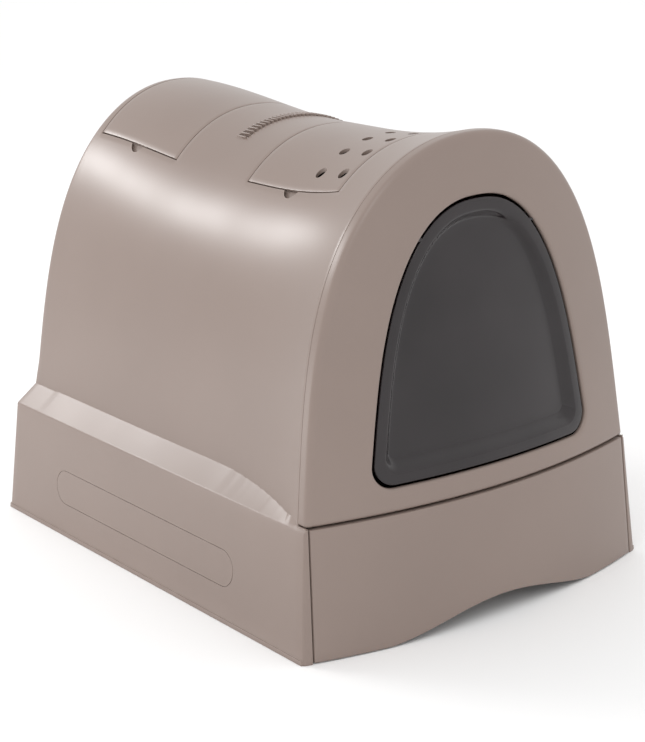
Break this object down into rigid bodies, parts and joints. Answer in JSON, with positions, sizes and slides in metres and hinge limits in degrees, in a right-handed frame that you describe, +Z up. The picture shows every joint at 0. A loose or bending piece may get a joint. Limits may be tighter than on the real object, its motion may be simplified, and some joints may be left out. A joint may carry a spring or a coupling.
{
  "type": "cat litter box with hood",
  "caption": "Hooded cat litter box with a smoked swing flap, a pull-out litter drawer and roof lids over a scoop bin and an odour filter.",
  "frame": {"origin": "on the floor, under the middle of the bounding box", "axes": "+Z up, the front with the flap and drawer faces -Y, +X to the right seen from the front"},
  "size_m": [0.4, 0.53, 0.4268],
  "materials": {
    "taupe_shell": "warm grey-taupe moulded plastic, semi-gloss",
    "taupe_inner": "the same plastic, satin",
    "smoked_clear": "smoked see-through plastic, polished",
    "carbon_pad": "charcoal felt",
    "pin_steel": "bright steel wire"
  },
  "bodies": {
    "housing": {"hood_shell": "taupe_shell", "base_walls": "taupe_shell", "front_fascia": "taupe_shell", "base_floor": "taupe_inner", "scoop_well": "taupe_inner", "filter_basket": "taupe_inner", "carbon_filter": "carbon_pad", "litter_scoop": "taupe_shell", "scoop_lid_pin": "pin_steel", "filter_lid_pin": "pin_steel"},
    "door": {"door_flap": "smoked_clear"},
    "drawer": {"drawer_tray": "taupe_inner", "drawer_front": "taupe_shell"},
    "scoop_hatch": {"scoop_lid": "taupe_shell"},
    "filter_hatch": {"filter_lid": "taupe_shell"}
  },
  "joints": [
    {"name": "door_swing", "type": "hinge", "parent": "housing", "child": "door", "pos_m": [0, -0.22777, 0.3408], "axis": [1, 0, 0], "range_deg": [-85, 70]},
    {"name": "drawer_slide", "type": "slide", "parent": "housing", "child": "drawer", "axis": [0, -1, 0], "range_m": [0, 0.4]},
    {"name": "scoop_lid_hinge", "type": "hinge", "parent": "housing", "child": "scoop_hatch", "pos_m": [0.095, 0.084, 0.37174], "axis": [0, 0.9969, 0.0787], "range_deg": [0, 105]},
    {"name": "filter_lid_hinge", "type": "hinge", "parent": "housing", "child": "filter_hatch", "pos_m": [0.095, -0.162, 0.37641], "axis": [0, 0.9974, -0.0721], "range_deg": [0, 105]}
  ]
}
